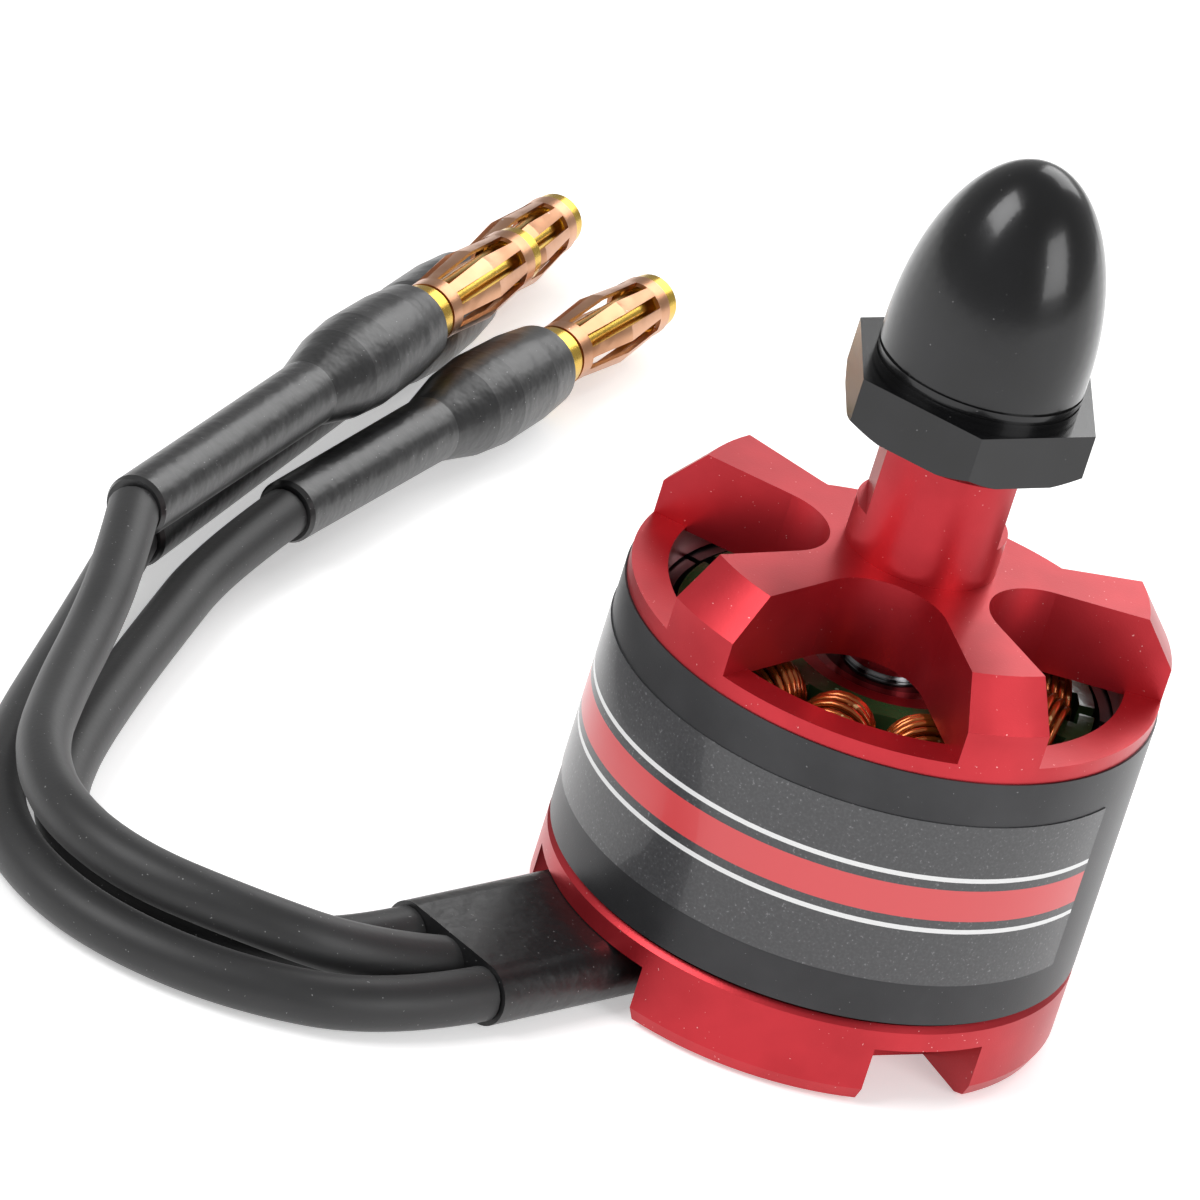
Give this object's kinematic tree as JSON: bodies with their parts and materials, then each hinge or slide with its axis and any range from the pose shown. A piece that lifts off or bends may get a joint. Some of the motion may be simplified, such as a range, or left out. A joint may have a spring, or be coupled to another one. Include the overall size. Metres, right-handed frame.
{
  "type": "brushless outrunner motor",
  "caption": "Small brushless outrunner motor with a turning black can, a red spoked cap, a domed propeller nut and three loose leads ending in bullet plugs.",
  "frame": {"origin": "centre of the base's underside, on the shaft axis", "axes": "+Z along the shaft towards the propeller nut; X and Y through the two pairs of screw holes"},
  "size_m": [0.0573, 0.0956, 0.0465],
  "materials": {
    "red_aluminium": "satin anodised",
    "black_steel": "satin black",
    "black_aluminium": "satin black anodised",
    "steel": "ground",
    "bearing_steel": "polished",
    "lamination": "edge stamped",
    "magnet": "nickel plated",
    "copper": "enamelled wire",
    "epoxy_green": "coated",
    "label_vinyl": "gloss film",
    "silicone": "matt",
    "heat_shrink": "satin",
    "gold": "gold plated",
    "cage_copper": "gold plated copper"
  },
  "bodies": {
    "stator": {"base_mount": "red_aluminium", "stator_core": "lamination", "upper_insulator": "epoxy_green", "lower_insulator": "epoxy_green", "coil_phase_a": "copper", "coil_phase_b": "copper", "coil_phase_c": "copper", "upper_outer_ring": "bearing_steel", "upper_shields": "bearing_steel", "lower_outer_ring": "bearing_steel", "lower_shields": "bearing_steel", "lead_sleeve": "heat_shrink", "phase_wire_a": "silicone", "heat_shrink_a": "heat_shrink", "bullet_pin_a": "gold", "bullet_cage_a": "cage_copper", "phase_wire_b": "silicone", "heat_shrink_b": "heat_shrink", "bullet_pin_b": "gold", "bullet_cage_b": "cage_copper", "phase_wire_c": "silicone", "heat_shrink_c": "heat_shrink", "bullet_pin_c": "gold", "bullet_cage_c": "cage_copper"},
    "rotor": {"bell_cap": "red_aluminium", "flux_ring": "black_steel", "magnets": "magnet", "label": "label_vinyl", "motor_shaft": "steel", "shaft_clip": "steel", "lower_washer": "steel", "upper_washer": "steel", "upper_inner_ring": "bearing_steel", "lower_inner_ring": "bearing_steel"},
    "upper_ball_set": {"upper_balls": "bearing_steel", "upper_cage": "bearing_steel"},
    "lower_ball_set": {"lower_balls": "bearing_steel", "lower_cage": "bearing_steel"},
    "nut": {"prop_nut": "black_aluminium"}
  },
  "joints": [
    {"name": "rotor_spin", "type": "hinge", "parent": "stator", "child": "rotor", "pos_m": [0, 0, 0.012], "axis": [0, 0, 1], "continuous": true},
    {"name": "upper_ball_orbit", "type": "hinge", "parent": "stator", "child": "upper_ball_set", "pos_m": [0, 0, 0.016], "axis": [0, 0, 1], "continuous": true},
    {"name": "lower_ball_orbit", "type": "hinge", "parent": "stator", "child": "lower_ball_set", "pos_m": [0, 0, 0.0032], "axis": [0, 0, 1], "continuous": true},
    {"name": "nut_unscrew", "type": "slide", "parent": "rotor", "child": "nut", "axis": [0, 0, 1], "range_m": [0, 0.012]}
  ],
  "couplings": [
    {"joint": "upper_ball_orbit", "follows": "rotor_spin", "ratio": 0.3673},
    {"joint": "lower_ball_orbit", "follows": "rotor_spin", "ratio": 0.3673}
  ]
}
